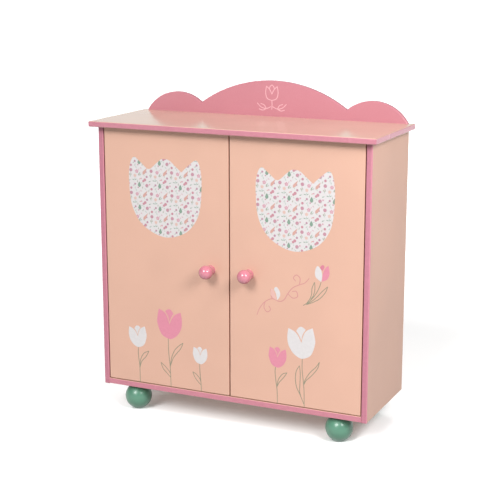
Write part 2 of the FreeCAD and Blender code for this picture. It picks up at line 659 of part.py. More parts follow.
def knob_blank(label, x):
    """A ball that runs into a slightly hollow neck, turned about the knob's axis."""
    body = new_body(label)
    ball = VALUES["knob_ball_radius"]
    distance = VALUES["knob_ball_distance"]
    base = VALUES["knob_base_radius"]
    collar = VALUES["knob_collar"]
    curve = VALUES["knob_neck_curve"]
    middle = Vector(0, distance, 0)
    rim = Vector(base, collar, 0)
    slope = rim - middle
    along = ((curve + ball) ** 2 - curve ** 2 + slope.Length ** 2) / (2 * slope.Length)
    across = math.sqrt((curve + ball) ** 2 - along ** 2)
    hollow = middle + slope / slope.Length * along + Vector(-slope.y, slope.x, 0) / slope.Length * across
    meeting = middle + (hollow - middle) * ball / (curve + ball)
    chord = (meeting + rim) / 2 - hollow
    waist = hollow + chord / chord.Length * curve
    sketch = new_sketch(body, "XZ_Plane")
    sketch.addGeometry([
        Part.LineSegment(Vector(0, distance + ball, 0), Vector(0, 0, 0)),
        Part.LineSegment(Vector(0, 0, 0), Vector(base, 0, 0)),
        Part.LineSegment(Vector(base, 0, 0), rim),
        counterclockwise_arc((meeting.x, meeting.y), (waist.x, waist.y), (base, collar)),
        counterclockwise_arc((meeting.x, meeting.y), (ball, distance), (0, distance + ball)),
    ])
    axis, foot, collar_line, neck, head = range(5)
    hold(sketch, "Coincident", axis, 2, -1, 1)
    hold(sketch, "Coincident", foot, 1, -1, 1)
    hold(sketch, "Vertical", axis)
    hold(sketch, "Horizontal", foot)
    hold(sketch, "Vertical", collar_line)
    hold(sketch, "Coincident", foot, 2, collar_line, 1)
    hold(sketch, "Coincident", collar_line, 2, neck, 2)
    hold(sketch, "Tangent", neck, 1, head, 1)
    hold(sketch, "Coincident", head, 2, axis, 1)
    hold(sketch, "PointOnObject", head, 3, -2)
    hold(sketch, "DistanceX", foot, 1, foot, 2, expression="knob_base_radius", start=base)
    hold(sketch, "DistanceY", collar_line, 1, collar_line, 2, expression="knob_collar", start=collar)
    hold(sketch, "Radius", neck, expression="knob_neck_curve", start=curve)
    hold(sketch, "Radius", head, expression="knob_ball_radius", start=ball)
    hold(sketch, "DistanceY", -1, 1, head, 3, expression="knob_ball_distance", start=distance)
    revolve(body, sketch)
    place(body, x, DOOR_FACE, "knob_height", Z_TO_FRONT)
    return body


def door(side, sign):
    """A door panel with its pivot pins, knob, knob screw, strike plate and strike screw."""
    hinge_edge = mirrored(sign, "door_meeting_gap / 2") if sign > 0 else f"-{INNER_SIDE} + door_side_gap"
    blank = board(f"{side}_door_panel", DOOR_WIDTH, "board_thickness", f"{DOOR_HEAD} - {DOOR_FOOT}",
                  (hinge_edge, DOOR_FACE, DOOR_FOOT), rounded=[("Y", -1), ("Y", 1)],
                  radius="door_arris")
    knob_x = mirrored(sign, "knob_offset")
    catch_x = mirrored(sign, "catch_offset")
    fixing, fixing_hole = screws(f"{side}_knob_screw", knob_screw,
                                 [(knob_x, DOOR_BACK, "knob_height", Z_TO_BACK)])
    strike_screw, strike_screw_hole = screws(
        f"{side}_strike_screw", small_screw,
        [(catch_x, f"{DOOR_BACK} + strike_thickness", f"{STRIKE_LEVEL} + strike_height / 2",
          Z_TO_BACK)])
    strike = board(f"{side}_strike_plate", "strike_length", "strike_thickness", "strike_height",
                   (f"{catch_x} - strike_length / 2", DOOR_BACK, STRIKE_LEVEL))
    pins = [pivot_pins[side, "top"], pivot_pins[side, "bottom"]]
    knob = knob_blank(f"{side}_knob", knob_x)
    return [drilled(f"{side}_door_panel", blank, fixing_hole, strike_screw_hole, *pins),
            drilled(f"{side}_knob", knob, fixing_hole),
            drilled(f"{side}_strike_plate", strike, strike_screw_hole),
            fixing, strike_screw, *pins]


doors = [piece for side, sign in SIDES.items() for piece in door(side, sign)]

# -------------------------------------------------------------------------- writing

PIECES = [top_board, crest_board, *side_panels, bottom_board, centre_divider, *shelves, back_panel,
          clothes_rail, *rail_sockets, rail_socket_screws, *feet, foot_screws, case_dowels,
          shelf_dowels, crest_screws, back_panel_nails, *pivot_bushes, *catches, catch_screws,
          *doors]

document.recompute()

for item in document.Objects:
    if {"Invalid", "Error"} & set(item.State):
        raise RuntimeError(f"{item.Label} failed: {item.State}")
for piece in PIECES:
    if piece.Shape.isNull() or not piece.Shape.isValid():
        raise RuntimeError(f"{piece.Label} has no valid shape")

os.makedirs("parts", exist_ok=True)
for piece in PIECES:
    piece.Shape.exportStep(f"parts/{piece.Label}.step")
print(f"{len(PIECES)} sub-parts written")
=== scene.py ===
"""Looks of the doll's wardrobe: painted boards, printed doors, knobs, feet and fittings, light and camera.

Every length is in metres in the CAD frame, except that prints are drawn in millimetres on the board that
carries them, from that board's own lower left corner. They become thin closed solids that ride with it.
"""
import math

import bpy
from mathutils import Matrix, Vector


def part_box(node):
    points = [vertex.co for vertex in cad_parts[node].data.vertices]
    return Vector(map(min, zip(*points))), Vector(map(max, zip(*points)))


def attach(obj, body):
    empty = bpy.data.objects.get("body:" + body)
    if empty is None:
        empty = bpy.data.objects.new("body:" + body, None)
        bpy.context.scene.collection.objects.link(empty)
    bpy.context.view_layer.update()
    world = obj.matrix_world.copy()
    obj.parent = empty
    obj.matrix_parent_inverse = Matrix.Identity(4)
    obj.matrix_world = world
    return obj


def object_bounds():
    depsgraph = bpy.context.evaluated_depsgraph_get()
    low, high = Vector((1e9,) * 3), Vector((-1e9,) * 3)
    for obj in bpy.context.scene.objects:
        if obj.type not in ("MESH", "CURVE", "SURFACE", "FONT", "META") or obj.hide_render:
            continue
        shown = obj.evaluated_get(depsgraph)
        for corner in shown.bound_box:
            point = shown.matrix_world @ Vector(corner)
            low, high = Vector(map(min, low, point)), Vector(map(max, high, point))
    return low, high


MM = 0.001

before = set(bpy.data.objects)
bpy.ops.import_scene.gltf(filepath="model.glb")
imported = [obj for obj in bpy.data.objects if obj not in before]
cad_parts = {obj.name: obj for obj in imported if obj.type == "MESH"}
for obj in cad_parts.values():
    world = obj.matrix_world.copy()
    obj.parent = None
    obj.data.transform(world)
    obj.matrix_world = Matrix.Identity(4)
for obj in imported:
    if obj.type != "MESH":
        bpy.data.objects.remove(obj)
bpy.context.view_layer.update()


# ---------------------------------------------------------------- colours

def srgb(red, green, blue):
    """A display colour, 0 to 255, as the linear colour that a shader takes."""
    def linear(value):
        value /= 255
        return value / 12.92 if value <= 0.04045 else ((value + 0.055) / 1.055) ** 2.4
    return (linear(red), linear(green), linear(blue), 1.0)


PEACH = srgb(193, 153, 134)
PINK = srgb(175, 109, 123)
# A pink a little darker than PINK, which the front edges of the upright boards take.
DARKER_EDGE_PINK = srgb(169, 105, 121)
# A deeper, redder peach for the doors' edges: painted shade, so the gaps beside the doors read dark and red.
GAP_SHADE_PEACH = srgb(178, 126, 106)
# A lighter copy of PEACH for the top board: painted light, for the light that falls on it from above.
LIT_TOP_PEACH = srgb(193, 163, 141)
CREST_PINK = srgb(172, 108, 118)
KNOB_PINK = srgb(185, 110, 125)
SAGE = srgb(75, 122, 100)
BARE_BROWN = srgb(172, 136, 100)
BARE_PALE = srgb(203, 170, 132)
BARE_FLECK = srgb(130, 96, 66)
BEECH_DARK = srgb(196, 152, 108)
BEECH_PALE = srgb(226, 188, 146)
BEECH_PORE = srgb(150, 104, 68)
SOCKET_WHITE = srgb(226, 222, 214)
CATCH_WHITE = srgb(214, 210, 204)
BUSH_BROWN = srgb(146, 106, 92)
PAINT_SPECKLE = (1.0, 0.95, 0.92, 1.0)
ZINC = (0.70, 0.72, 0.74, 1.0)
PIN_STEEL = (0.62, 0.62, 0.63, 1.0)
NICKEL = (0.56, 0.55, 0.53, 1.0)


# ---------------------------------------------------------------- shader building blocks

# Where a Mix node keeps the sockets for colours: they share their names with its sockets for other data.
MIX_AMOUNT, MIX_FIRST, MIX_SECOND, MIX_RESULT = 0, 6, 7, 2


class Shader:
    """A material's node tree, with the few nodes the paints and metals are built from."""

    def __init__(self, name):
        self.material = bpy.data.materials.new(name)
        self.material.use_nodes = True
        self.tree = self.material.node_tree
        self.tree.nodes.clear()
        self.output = self.tree.nodes.new("ShaderNodeOutputMaterial")
        self.coordinates = self.tree.nodes.new("ShaderNodeTexCoord")

    def node(self, kind, inputs=None, **settings):
        """A new node; each input is a value, or the output that it is linked to."""
        made = self.tree.nodes.new(kind)
        for name, value in settings.items():
            setattr(made, name, value)
        for socket, value in (inputs or {}).items():
            self.feed(made.inputs[socket], value)
        return made

    def feed(self, socket, value):
        if isinstance(value, bpy.types.NodeSocket):
            self.tree.links.new(value, socket)
        else:
            socket.default_value = value

    def math(self, operation, *values):
        return self.node("ShaderNodeMath", dict(enumerate(values)), operation=operation).outputs[0]

    def scaled(self, value, factor, offset):
        """value times factor, plus offset."""
        return self.math("ADD", self.math("MULTIPLY", value, factor), offset)

    def ramp(self, value, low, high, to_low=0.0, to_high=1.0):
        """A smooth change from to_low, where value is low, to to_high, where it is high."""
        inputs = {"Value": value, 1: low, 2: high, 3: to_low, 4: to_high}
        return self.node("ShaderNodeMapRange", inputs, interpolation_type="SMOOTHSTEP").outputs[0]

    def mix(self, amount, first, second):
        """A colour between two: first at an amount of 0, second at 1."""
        inputs = {MIX_AMOUNT: amount, MIX_FIRST: first, MIX_SECOND: second}
        return self.node("ShaderNodeMix", inputs, data_type="RGBA").outputs[MIX_RESULT]

    def shades(self, noise, colour, darker, lighter, low=0.3, high=0.7):
        """One colour that drifts with a noise between a darker and a lighter shade of itself."""
        return self.mix(self.ramp(noise, low, high), tinted(colour, darker), tinted(colour, lighter))

    def stretched(self, scale):
        """The object's own coordinates, in metres, multiplied along each axis."""
        inputs = {0: self.coordinates.outputs["Object"], 1: scale}
        return self.node("ShaderNodeVectorMath", inputs, operation="MULTIPLY").outputs[0]

    def noise(self, scale, detail=3.0, roughness=0.55, distortion=0.0):
        """Noise from 0 to 1; scale is in features per metre, one number or one for each axis."""
        axes = (scale,) * 3 if isinstance(scale, (int, float)) else scale
        inputs = {
            "Vector": self.stretched(axes), "Scale": 1.0, "Detail": detail,
            "Roughness": roughness, "Distortion": distortion,
        }
        return self.node("ShaderNodeTexNoise", inputs).outputs["Fac"]

    def normal_parts(self):
        """How far the surface faces along x, y and z, each from 0 to 1."""
        split = self.node("ShaderNodeSeparateXYZ", {0: self.coordinates.outputs["Normal"]})
        return [self.math("ABSOLUTE", part) for part in split.outputs]

    def bump(self, height, distance, strength, below=None):
        """Relief of up to `distance` metres, on top of another relief if one is given."""
        inputs = {"Height": height, "Distance": distance, "Strength": strength}
        if below is not None:
            inputs["Normal"] = below
        return self.node("ShaderNodeBump", inputs).outputs[0]

    def finish(self, **sockets):
        """The finished material; a socket's name has _ for a space."""
        shader = self.node("ShaderNodeBsdfPrincipled")
        for name, value in sockets.items():
            self.feed(shader.inputs[name.replace("_", " ")], value)
        self.tree.links.new(shader.outputs[0], self.output.inputs[0])
        return self.material


def tinted(colour, factor):
    """A lighter or darker shade of a colour."""
    return tuple(part * factor for part in colour[:3]) + (1.0,)


def blended(first, second):
    """The colour halfway between two others."""
    return tuple((a + b) / 2 for a, b in zip(first, second))


# How far behind a painted front edge its colour starts to fade from the face beside it, and where it is gone.
# The band is lighter than the edge: partly paint that laps round, partly a painted highlight of the arris.
HIGHLIGHT_LAP_START, HIGHLIGHT_LAP_END = 2.1 * MM, 3.2 * MM


def board_paint(name, face, edge, across, roughness=0.36, coat=0.25, coat_roughness=0.28, arris_highlight=0.45,
                front=None):
    """Satin paint on fibreboard: one colour on its two faces, which look along `across`, another on its edges.

    Where it rounds an arris its colour is lighter, a painted highlight, by as much as the arris highlight
    argument says, and the fibres show a little through the cut edges. `front` is the y of a front edge whose
    paint laps onto the faces, in a lighter band that is partly paint and partly a painted highlight of the
    arris.
    """
    s = Shader(name)
    parts = s.normal_parts()
    on_face = s.ramp(parts["xyz".index(across)], 0.55, 0.8)
    squareness = s.math("MAXIMUM", s.math("MAXIMUM", parts[0], parts[1]), parts[2])
    on_arris = s.ramp(squareness, 0.78, 0.985, 1.0, 0.0)
    cloud = s.noise(9.0, detail=2.0)
    speckle = s.noise(1400.0, detail=1.0)
    fibres = s.noise(160.0, detail=5.0, roughness=0.7)
    face_colour = s.shades(cloud, face, 0.975, 1.02)
    edge_colour = s.shades(fibres, edge, 0.95, 1.04)
    colour = s.mix(on_face, edge_colour, face_colour)
    colour = s.mix(s.math("MULTIPLY", s.ramp(speckle, 0.62, 0.75), 0.05), colour, PAINT_SPECKLE)
    # Lighter colour on the rounded arrises: a painted highlight.
    arris_highlight_colour = blended(tinted(edge, 1.35), tinted(face, 1.1))
    colour = s.mix(s.math("MULTIPLY", on_arris, arris_highlight), colour, arris_highlight_colour)
    # A lighter band of the edge's pink on the faces behind the front edge: partly paint lapping round, partly
    # painted highlight.
    if front is not None:
        y = s.node("ShaderNodeSeparateXYZ", {0: s.coordinates.outputs["Object"]}).outputs[1]
        lap_and_highlight = s.ramp(y, front + HIGHLIGHT_LAP_START, front + HIGHLIGHT_LAP_END, 1.0, 0.0)
        colour = s.mix(s.math("MULTIPLY", lap_and_highlight, on_face), colour, tinted(edge, 1.3))
    peel = s.noise(420.0, detail=2.0, roughness=0.4)
    ripple = s.noise(70.0, detail=1.0)
    height = s.math("ADD", s.math("MULTIPLY", peel, 0.35), s.math("MULTIPLY", ripple, 0.65))
    surface = s.bump(height, 0.00018, 0.25)
    rough_edge = s.math("MULTIPLY", s.math("SUBTRACT", 1.0, on_face), s.noise(900.0, detail=3.0))
    surface = s.bump(rough_edge, 0.00012, 0.4, surface)
    gloss = s.scaled(cloud, 0.06, s.ramp(on_face, 0.0, 1.0, roughness + 0.08, roughness - 0.03))
    return s.finish(
        Base_Color=colour, Roughness=gloss, Normal=surface,
        IOR=1.5, Coat_Weight=coat, Coat_Roughness=coat_roughness,
    )


def turned_paint(name, colour, roughness, coat):
    """Paint on a turned ball: the lathe's fine rings show faintly through it."""
    s = Shader(name)
    shade = s.shades(s.noise(45.0, detail=3.0), colour, 0.95, 1.05)
    rings = s.noise((25.0, 25.0, 1500.0), detail=2.0)
    surface = s.bump(rings, 0.00006, 0.35)
    surface = s.bump(s.noise(350.0, detail=1.0), 0.00015, 0.25, surface)
    gloss = s.scaled(rings, 0.08, roughness - 0.04)
    return s.finish(
        Base_Color=shade, Roughness=gloss, Normal=surface,
        IOR=1.5, Coat_Weight=coat, Coat_Roughness=0.1,
    )


def ink(name, colour):
    """Screen-printed ink: flat and even, with a fine tooth and slightly uneven cover."""
    s = Shader(name)
    shade = s.shades(s.noise(260.0, detail=3.0), colour, 0.965, 1.02, 0.25, 0.75)
    surface = s.bump(s.noise(1100.0, detail=2.0), 0.00005, 0.3)
    gloss = s.scaled(s.noise(70.0), 0.06, 0.39)
    return s.finish(
        Base_Color=shade, Roughness=gloss, Normal=surface, IOR=1.5, Coat_Weight=0.12, Coat_Roughness=0.3,
    )


def back_board():
    """Thin fibreboard: painted like the boards on the side that faces into the case, bare brown behind."""
    s = Shader("back_board_paint_and_bare_back")
    split = s.node("ShaderNodeSeparateXYZ", {0: s.coordinates.outputs["Normal"]})
    bare = s.ramp(split.outputs[1], -0.5, -0.2)
    fibres = s.noise((240.0, 240.0, 900.0), detail=6.0, roughness=0.75)
    flecks = s.noise(1300.0, detail=2.0)
    brown = s.mix(s.ramp(fibres, 0.3, 0.75), BARE_BROWN, BARE_PALE)
    brown = s.mix(s.math("MULTIPLY", s.ramp(flecks, 0.58, 0.72), 0.5), brown, BARE_FLECK)
    painted = s.shades(s.noise(9.0, detail=2.0), PEACH, 0.97, 1.02)
    surface = s.bump(s.math("MULTIPLY", bare, fibres), 0.0003, 0.5)
    surface = s.bump(s.noise(420.0, detail=2.0), 0.00012, 0.2, surface)
    return s.finish(
        Base_Color=s.mix(bare, painted, brown), Roughness=s.ramp(bare, 0.0, 1.0, 0.45, 0.8),
        Normal=surface, IOR=1.48,
    )


def beech():
    """Pale steamed beech, grain along x, with the short darker flecks of its rays."""
    s = Shader("beech_bare")
    figure = s.noise((6.0, 90.0, 90.0), detail=4.0, roughness=0.6, distortion=0.4)
    pores = s.noise((120.0, 1500.0, 1500.0), detail=2.0)
    wood = s.mix(s.ramp(figure, 0.25, 0.75), BEECH_DARK, BEECH_PALE)
    wood = s.mix(s.math("MULTIPLY", s.ramp(pores, 0.6, 0.72), 0.55), wood, BEECH_PORE)
    surface = s.bump(pores, 0.0001, 0.5)
    return s.finish(Base_Color=wood, Roughness=s.ramp(figure, 0.0, 1.0, 0.5, 0.62), Normal=surface, IOR=1.5)


def moulded(name, colour, roughness, translucence=0.0):
    """Moulded plastic with a fine spark-eroded texture and slightly uneven gloss."""
    s = Shader(name)
    flow = s.noise(60.0, detail=2.0)
    shade = s.shades(flow, colour, 0.97, 1.02)
    surface = s.bump(s.noise(1800.0, detail=2.0), 0.00006, 0.5)
    gloss = s.scaled(flow, 0.1, roughness - 0.05)
    return s.finish(
        Base_Color=shade, Roughness=gloss, Normal=surface, IOR=1.46,
        Subsurface_Weight=translucence, Subsurface_Radius=(0.002, 0.0018, 0.0016),
    )


def plated(name, colour, roughness, scratch_scale):
    """Plated or ground metal: fine scratches run one way, and the plating clouds a little."""
    s = Shader(name)
    scratches = s.noise(scratch_scale, detail=3.0, roughness=0.65)
    shade = s.shades(s.noise(220.0, detail=3.0), colour, 0.9, 1.05)
    gloss = s.scaled(scratches, 0.16, roughness - 0.08)
    return s.finish(
        Base_Color=shade, Metallic=1.0, Roughness=gloss, Normal=s.bump(scratches, 0.00003, 0.5),
    )


# ---------------------------------------------------------------- finishes of the CAD nodes

side_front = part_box("left_side_panel")[0].y
# The side boards' faces take PEACH made darker: painted shade, for the lesser light on the sides.
shaded_side_paint = board_paint(
    "side_board_shaded_paint", tinted(PEACH, 0.95), DARKER_EDGE_PINK, "x", roughness=0.5, coat=0.0, front=side_front,
)
level_paint = board_paint("level_board_paint", PEACH, PINK, "z")
# The top board's faces take a lighter peach than the other boards: painted light from above.
lit_top_paint = board_paint(
    "top_board_lit_paint", LIT_TOP_PEACH, PINK, "z", roughness=0.16, coat=0.22, coat_roughness=0.1,
)

# The upright boards of the case share a slot with the level ones, whose faces look another way.
FINISH_OF_SLOT = {
    "case_paint": shaded_side_paint,
    # The doors' edges take the deeper, redder peach: painted shade in the gaps between the doors and the case.
    "door_paint": board_paint("door_board_paint", PEACH, GAP_SHADE_PEACH, "y", roughness=0.42, coat=0.0),
    "crest_paint": board_paint("crest_board_paint", CREST_PINK, CREST_PINK, "y", arris_highlight=0.08),
    "knob_paint": turned_paint("knob_gloss_paint", KNOB_PINK, roughness=0.24, coat=0.45),
    "foot_paint": turned_paint("foot_gloss_paint", SAGE, roughness=0.34, coat=0.2),
    "zinc_steel": plated("zinc_plated_steel", ZINC, 0.34, (300.0, 300.0, 2400.0)),
    "pin_steel": plated("pivot_pin_steel", PIN_STEEL, 0.28, (300.0, 300.0, 3000.0)),
    "magnet_metal": plated("magnet_nickel", NICKEL, 0.3, (2400.0, 300.0, 300.0)),
    "back_board": back_board(),
    "beech": beech(),
    "socket_plastic": moulded("socket_white_plastic", SOCKET_WHITE, 0.4),
    "nylon": moulded("bush_nylon", BUSH_BROWN, 0.4, translucence=0.1),
    "catch_plastic": moulded("catch_white_plastic", CATCH_WHITE, 0.42),
}
LEVEL_BOARDS = {
    "top_board": lit_top_paint, "bottom_board": level_paint, "upper_shelf": level_paint, "lower_shelf": level_paint,
}

for node_name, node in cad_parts.items():
    for place in node.material_slots:
        slot_name = place.material.name.split(".")[0]
        place.material = LEVEL_BOARDS.get(node_name) or FINISH_OF_SLOT[slot_name]


# ---------------------------------------------------------------- drawing the prints

# Straight steps between two points of a smooth line, and round a spot.
STEPS = 9
SPOT_STEPS = 14

# Tops of the inks, in mm in front of the board. Each next motif or stroke stands a little prouder, because tops
# that overlap in one plane would flicker.
GROUND_TOP = 0.05
MOTIF_TOP = 0.08
STROKE_TOP = 0.04
FLOWER_TOP = 0.06
BACK_PETAL_TOP = 0.055
SIDE_PETAL_TOP = 0.065
FRONT_PETAL_TOP = 0.07
PROUDER = 0.002

# Scraps of a cut motif that are smaller than this, in mm2, are left out.
SMALLEST_SCRAP = 0.02


def tangent(before, after):
    """The direction and speed of a smooth line at a point, from the points on its two sides."""
    return ((after[0] - before[0]) / 2, (after[1] - before[1]) / 2)


def smooth(points, closed=True):
    """A smooth line through points (x, z). A point with a third value is a corner, where the line breaks."""
    count = len(points)
    runs = count if closed else count - 1
    line = []
    for i in range(runs):
        here, there = points[i], points[(i + 1) % count]
        before = points[i - 1] if closed or i > 0 else here
        after = points[(i + 2) % count] if closed or i + 2 < count else there
        leave = tangent(here if len(here) > 2 else before, there)
        arrive = tangent(here, there if len(there) > 2 else after)
        for k in range(STEPS):
            t = k / STEPS
            a = 2 * t**3 - 3 * t**2 + 1
            b = t**3 - 2 * t**2 + t
            c = -2 * t**3 + 3 * t**2
            d = t**3 - t**2
            line.append(tuple(
                a * here[n] + b * leave[n] + c * there[n] + d * arrive[n] for n in (0, 1)
            ))
    if not closed:
        line.append(tuple(points[-1][:2]))
    return line


def ribbon(points, width, ends):
    """The outline of a pen stroke: `width` wide in the middle, and that times `ends` at its two ends."""
    line = smooth(points, closed=False)
    left, right = [], []
    last = len(line) - 1
    for i, (x, z) in enumerate(line):
        x0, z0 = line[max(i - 1, 0)]
        x1, z1 = line[min(i + 1, last)]
        length = math.hypot(x1 - x0, z1 - z0) or 1.0
        along = i / last
        swell = math.sin(math.pi * along) ** 0.5
        end = ends[0] * (1 - along) + ends[1] * along
        half = width / 2 * (end + (1 - end) * swell)
        nx, nz = -(z1 - z0) / length * half, (x1 - x0) / length * half
        left.append((x + nx, z + nz))
        right.append((x - nx, z - nz))
    return left + right[::-1]


def moved(shape, x, z, scale, angle, mirror=False):
    """A shape in its own small frame, put at (x, z), scaled, and turned by angle degrees."""
    cosine, sine = math.cos(math.radians(angle)), math.sin(math.radians(angle))
    flip = -1 if mirror else 1
    placed = []
    for point in shape:
        u, v = flip * point[0] * scale, point[1] * scale
        placed.append((x + u * cosine - v * sine, z + u * sine + v * cosine) + tuple(point[2:]))
    return placed


def area(outline):
    """The area inside an outline, positive where it runs anticlockwise."""
    total = 0.0
    for (x0, z0), (x1, z1) in zip(outline, outline[1:] + outline[:1]):
        total += x0 * z1 - x1 * z0
    return total / 2


def inside(point, start, end):
    """Above 0 where the point is to the left of the line from start to end."""
    return (end[0] - start[0]) * (point[1] - start[1]) - (end[1] - start[1]) * (point[0] - start[0])


def clipped(outline, convex):
    """The part of outline that lies inside a convex shape."""
    if area(convex) < 0:
        convex = convex[::-1]
    result = outline
    for start, end in zip(convex, convex[1:] + convex[:1]):
        kept = []
        for first, second in zip(result, result[1:] + result[:1]):
            d0, d1 = inside(first, start, end), inside(second, start, end)
            if d0 >= 0:
                kept.append(first)
            if (d0 >= 0) != (d1 >= 0):
                t = d0 / (d0 - d1)
                kept.append((first[0] + (second[0] - first[0]) * t, first[1] + (second[1] - first[1]) * t))
        result = kept
        if not result:
            break
    return result


class Print:
    """Thin solids of ink on the front of one board: outlines in mm from the board's lower left front corner.

    `inset` moves the whole drawing to the right, in mm.
    """

    def __init__(self, name, board, body, slot, inset=0.0):
        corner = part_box(board)[0]
        self.origin = Vector((corner.x + inset * MM, corner.y, corner.z))
        self.name, self.body, self.slot = name, body, slot
        self.points, self.faces, self.inks, self.ink_of_face = [], [], [], []

    def add(self, outline, material, top, base=0.0):
        """One closed outline, from base to top mm in front of the board."""
        if len(outline) < 3 or abs(area(outline)) < SMALLEST_SCRAP:
            return
        if area(outline) < 0:
            outline = outline[::-1]
        if material not in self.inks:
            self.inks.append(material)
        index = self.inks.index(material)
        first = len(self.points)
        count = len(outline)
        for depth in (-base, -top):
            for x, z in outline:
                self.points.append(self.origin + Vector((x, depth, z)) * MM)
        self.faces.append([first + count + i for i in range(count)])
        self.faces.append([first + i for i in reversed(range(count))])
        for i in range(count):
            j = (i + 1) % count
            self.faces.append([first + i, first + j, first + count + j, first + count + i])
        self.ink_of_face += [index] * (count + 2)

    def make(self):
        mesh = bpy.data.meshes.new(self.name)
        mesh.from_pydata(self.points, [], self.faces)
        for material in self.inks:
            mesh.materials.append(material)
        mesh.polygons.foreach_set("material_index", self.ink_of_face)
        mesh.update()
        piece = bpy.data.objects.new(self.name, mesh)
        bpy.context.scene.collection.objects.link(piece)
        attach(piece, self.body)


white_ink = ink("ink_white", srgb(191, 187, 187))
pink_ink = ink("ink_pink", srgb(192, 119, 137))
green_ink = ink("ink_green", srgb(110, 134, 118))
stem_ink = ink("ink_stem", srgb(122, 120, 99))
peach_ink = ink("ink_pale_peach", srgb(196, 156, 148))
deep_pink_ink = ink("ink_deep_pink", srgb(182, 106, 124))
tendril_ink = ink("ink_dusty_pink", srgb(180, 121, 121))
crest_ink = ink("ink_pale_pink", srgb(200, 150, 156))
rose_ink = ink("ink_rose", srgb(165, 122, 134))
mauve_ink = ink("ink_mauve", srgb(159, 121, 137))
coral_ink = ink("ink_coral", srgb(169, 120, 130))
salmon_ink = ink("ink_salmon", srgb(180, 139, 129))
pale_salmon_ink = ink("ink_pale_salmon", srgb(190, 160, 150))
blush_ink = ink("ink_blush", srgb(180, 136, 147))
mint_ink = ink("ink_mint", srgb(149, 165, 155))
olive_ink = ink("ink_olive", srgb(146, 146, 132))
leaf_ink = ink("ink_leaf", srgb(130, 147, 134))


# ---------------------------------------------------------------- the patterned tulips

# The outline of a big tulip, mm from the door's lower left corner.
BIG_TULIP = [
    (53, 373), (45.3, 359), (43.8, 332), (48.8, 293), (68.8, 263), (106.8, 247.3), (144.8, 258.5),
    (166.8, 288), (172.6, 332), (170.3, 362), (163.3, 374), (150.8, 366), (137.4, 353.6, "corner"),
    (125.4, 363.6), (115.4, 371.4), (103.6, 372.6), (94.6, 366.4), (79.6, 355), (65.4, 364.6),
]


def round_spot(diameter):
    radius = diameter / 2
    angles = [math.tau * i / SPOT_STEPS for i in range(SPOT_STEPS)]
    return [(radius * math.cos(angle), radius * math.sin(angle)) for angle in angles]


def drop_spot(length, width):
    """A drop standing on its round end, its point up."""
    r = width / 2
    return smooth([
        (0, length - r, "corner"), (r * 0.62, length * 0.42), (r, 0), (0, -r), (-r, 0),
        (-r * 0.62, length * 0.42),
    ])


def leaf_spot(length, width):
    """A slim leaf that is widest a third of the way along x."""
    return smooth([
        (0, 0, "corner"), (length * 0.3, width / 2), (length, 0, "corner"), (length * 0.3, -width / 2),
    ])


DROP = drop_spot(8.4, 5.0)
PETAL = drop_spot(2.6, 2.3)

# One repeat of the pattern: shape, ink, place in mm from the drop, and turn in degrees.
PATTERN = [
    (DROP, green_ink, 0, 0, 0),
    (round_spot(5.4), rose_ink, 13.6, 0.5, 0),
    (round_spot(3.6), mauve_ink, 13.4, 14.6, 0),
    (round_spot(3.8), coral_ink, 7.2, 7.4, 0),
    (round_spot(4.6), coral_ink, 10.0, 9.6, 0),
    (round_spot(3.3), mauve_ink, 29.0, 2.2, 0),
    (round_spot(3.9), coral_ink, 21.8, -4.6, 0),
    (round_spot(5.3), rose_ink, 21.6, -12.4, 0),
    (leaf_spot(13.6, 4.3), salmon_ink, 6.0, -19.0, 54),
    (leaf_spot(5.8, 1.7), leaf_ink, -1.6, -19.4, 52),
    (leaf_spot(4.4, 1.2), leaf_ink, 1.0, -20.4, 52),
    (leaf_spot(5.4, 1.8), olive_ink, 18.6, -18.0, -64),
    (leaf_spot(4.8, 1.6), leaf_ink, 16.6, 6.6, 24),
    (leaf_spot(4.4, 1.5), olive_ink, 5.0, -4.8, 66),
    (leaf_spot(4.2, 1.4), salmon_ink, 36.2, 9.6, 38),
    (leaf_spot(4.6, 1.3), mint_ink, 27.8, -5.6, 54),
    (leaf_spot(3.8, 1.3), blush_ink, 1.6, -7.4, -38),
    (leaf_spot(5.2, 1.5), leaf_ink, 23.6, 9.4, -12),
    (leaf_spot(4.4, 1.4), leaf_ink, 28.4, 8.4, 28),
    (leaf_spot(3.6, 1.2), mint_ink, 28.2, 9.2, 78),
    (leaf_spot(6.0, 1.3), olive_ink, 22.6, 15.4, 112),
    (leaf_spot(3.4, 1.2), blush_ink, 35.2, -12.0, 60),
    (leaf_spot(3.4, 1.2), mint_ink, 2.6, 3.8, 20),
    (leaf_spot(3.6, 1.2), mint_ink, 8.6, 1.6, 128),
    (leaf_spot(3.6, 1.2), leaf_ink, 25.4, -1.2, 42),
    (round_spot(2.4), olive_ink, 36.0, 17.0, 0),
    (leaf_spot(3.8, 1.2), mint_ink, 20.4, 12.8, 80),
    (leaf_spot(3.4, 1.1), mint_ink, 15.4, -3.0, 96),
    (leaf_spot(5.0, 1.2), mint_ink, 9.4, 15.4, 118),
    (leaf_spot(5.4, 1.2), olive_ink, 16.2, -9.6, 70),
    (leaf_spot(4.6, 1.2), mint_ink, 12.6, -6.6, 140),
    (leaf_spot(5.2, 1.2), mint_ink, 31.6, -9.4, 112),
    (leaf_spot(4.8, 1.3), olive_ink, 33.4, 4.4, 96),
    (round_spot(2.6), blush_ink, 18.4, 2.6, 0),
    (round_spot(2.4), blush_ink, 3.4, 11.4, 0),
    (round_spot(2.6), mauve_ink, 12.2, -14.2, 0),
    (round_spot(2.2), rose_ink, 34.4, -3.4, 0),
]
